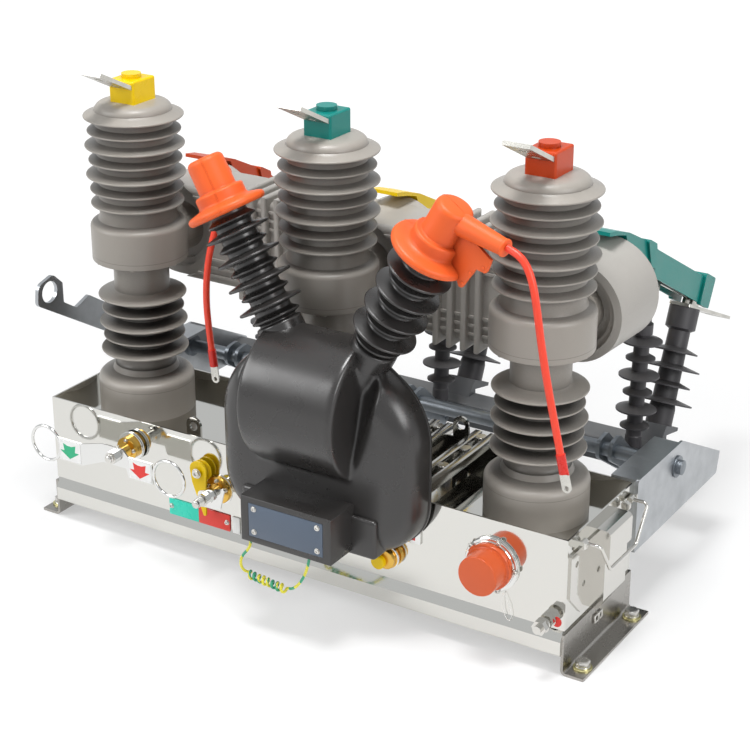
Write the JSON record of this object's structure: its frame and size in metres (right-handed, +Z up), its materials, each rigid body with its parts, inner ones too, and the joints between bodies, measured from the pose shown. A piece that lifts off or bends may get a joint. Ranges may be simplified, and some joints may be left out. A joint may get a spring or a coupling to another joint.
{
  "type": "outdoor vacuum circuit breaker",
  "caption": "Outdoor vacuum circuit breaker: shedded poles on a stainless tank, a rear disconnector and a black voltage transformer in front.",
  "frame": {"origin": "middle of the four foot holes, at the height of the feet's undersides", "axes": "+X along the three poles to the plug end, +Y to the rear disconnector, +Z up"},
  "size_m": [0.9509, 0.8888, 0.7222],
  "materials": {
    "polished_steel": "polished stainless sheet",
    "galvanised_steel": "satin zinc-plated steel",
    "dark_steel": "dark painted steel",
    "grey_silicone": "matt grey insulator",
    "grey_epoxy": "satin light grey casting",
    "tinned_copper": "tinned",
    "yellow_plastic": "glossy",
    "green_plastic": "glossy",
    "orange_plastic": "glossy",
    "dark_silicone": "matt dark insulator",
    "black_epoxy": "semi-gloss black casting",
    "orange_rubber": "satin silicone rubber",
    "red_silicone": "satin",
    "blue_grey_plate": "matt",
    "yellow_green_wire": "striped sheath",
    "brass": "turned",
    "chrome_steel": "bright plated",
    "nickel": "plated",
    "red_brown_plastic": "satin"
  },
  "bodies": {
    "base": {"cap_left": "orange_rubber", "cap_right": "orange_rubber", "earth_coil": "yellow_green_wire", "earth_stud": "galvanised_steel", "earth_wire": "yellow_green_wire", "end_cover": "galvanised_steel", "fixed_contact_a": "tinned_copper", "fixed_contact_b": "tinned_copper", "fixed_contact_c": "tinned_copper", "foot_left": "galvanised_steel", "foot_right": "galvanised_steel", "front_bushes": "brass", "lead_left": "red_silicone", "lead_lugs": "tinned_copper", "lead_right": "red_silicone", "lifting_ears": "galvanised_steel", "plug_cap": "red_brown_plastic", "plug_socket": "nickel", "pole_a": "grey_silicone", "pole_b": "grey_silicone", "pole_c": "grey_silicone", "rear_beam": "dark_steel", "rear_terminal_a": "tinned_copper", "rear_terminal_b": "tinned_copper", "rear_terminal_c": "tinned_copper", "sensor_block": "grey_epoxy", "side_plate_left": "galvanised_steel", "side_plate_right": "galvanised_steel", "support_insulator_a": "dark_silicone", "support_insulator_b": "dark_silicone", "support_insulator_c": "dark_silicone", "tank_pan": "polished_steel", "tank_shell": "polished_steel", "terminal_bar_a": "tinned_copper", "terminal_bar_b": "tinned_copper", "terminal_bar_c": "tinned_copper", "terminal_cover_a": "yellow_plastic", "terminal_cover_b": "green_plastic", "terminal_cover_c": "orange_plastic", "terminal_plate": "blue_grey_plate", "transformer_body": "black_epoxy", "transformer_rails": "galvanised_steel"},
    "isolator_shaft": {"isolator_shaft": "galvanised_steel", "operating_lever": "galvanised_steel"},
    "ring_lever": {"ring_lever": "chrome_steel"},
    "charging_lever": {"charging_lever": "chrome_steel"},
    "charge_pointer": {"charge_pointer": "yellow_plastic"},
    "bail": {"bail_right": "galvanised_steel"},
    "blade_a": {"blade_a": "tinned_copper", "blade_cover_a": "orange_plastic"},
    "pull_rod_a": {"pull_rod_a": "dark_silicone"},
    "blade_b": {"blade_b": "tinned_copper", "blade_cover_b": "yellow_plastic"},
    "pull_rod_b": {"pull_rod_b": "dark_silicone"},
    "blade_c": {"blade_c": "tinned_copper", "blade_cover_c": "green_plastic"},
    "pull_rod_c": {"pull_rod_c": "dark_silicone"}
  },
  "joints": [
    {"name": "isolator_shaft_turn", "type": "hinge", "parent": "base", "child": "isolator_shaft", "pos_m": [0, 0.24, 0.172], "axis": [1, 0, 0], "range_deg": [0, 51]},
    {"name": "blade_a_swing", "type": "hinge", "parent": "base", "child": "blade_a", "pos_m": [-0.34, 0.53, 0.328], "axis": [1, 0, 0], "range_deg": [-33.05, 0]},
    {"name": "pull_rod_a_swing", "type": "hinge", "parent": "isolator_shaft", "child": "pull_rod_a", "pos_m": [-0.34, 0.326, 0.112], "axis": [1, 0, 0], "range_deg": [-59, 0]},
    {"name": "blade_b_swing", "type": "hinge", "parent": "base", "child": "blade_b", "pos_m": [0, 0.53, 0.328], "axis": [1, 0, 0], "range_deg": [-33.05, 0]},
    {"name": "pull_rod_b_swing", "type": "hinge", "parent": "isolator_shaft", "child": "pull_rod_b", "pos_m": [0, 0.326, 0.112], "axis": [1, 0, 0], "range_deg": [-59, 0]},
    {"name": "blade_c_swing", "type": "hinge", "parent": "base", "child": "blade_c", "pos_m": [0.34, 0.53, 0.328], "axis": [1, 0, 0], "range_deg": [-33.05, 0]},
    {"name": "pull_rod_c_swing", "type": "hinge", "parent": "isolator_shaft", "child": "pull_rod_c", "pos_m": [0.34, 0.326, 0.112], "axis": [1, 0, 0], "range_deg": [-59, 0]},
    {"name": "ring_lever_turn", "type": "hinge", "parent": "base", "child": "ring_lever", "pos_m": [-0.284, -0.1025, 0.161], "axis": [0, 1, 0], "range_deg": [-35, 35], "stiffness_Nm_per_rad": 0.4},
    {"name": "charging_lever_turn", "type": "hinge", "parent": "base", "child": "charging_lever", "pos_m": [-0.126, -0.1025, 0.128], "axis": [0, 1, 0], "range_deg": [-60, 0], "stiffness_Nm_per_rad": 0.5, "springref_deg": 11.46},
    {"name": "charge_pointer_turn", "type": "hinge", "parent": "base", "child": "charge_pointer", "pos_m": [-0.152, -0.1025, 0.155], "axis": [0, 1, 0], "range_deg": [0, 26]},
    {"name": "bail_right_swing", "type": "hinge", "parent": "base", "child": "bail", "pos_m": [0.4484, 0.007, 0.187], "axis": [0, 1, 0], "range_deg": [-100, 0]}
  ],
  "couplings": [
    {"joint": "blade_a_swing", "follows": "isolator_shaft_turn", "ratio": -0.64706},
    {"joint": "pull_rod_a_swing", "follows": "isolator_shaft_turn", "ratio": -1.1549},
    {"joint": "blade_b_swing", "follows": "isolator_shaft_turn", "ratio": -0.64706},
    {"joint": "pull_rod_b_swing", "follows": "isolator_shaft_turn", "ratio": -1.1549},
    {"joint": "blade_c_swing", "follows": "isolator_shaft_turn", "ratio": -0.64706},
    {"joint": "pull_rod_c_swing", "follows": "isolator_shaft_turn", "ratio": -1.1549}
  ]
}
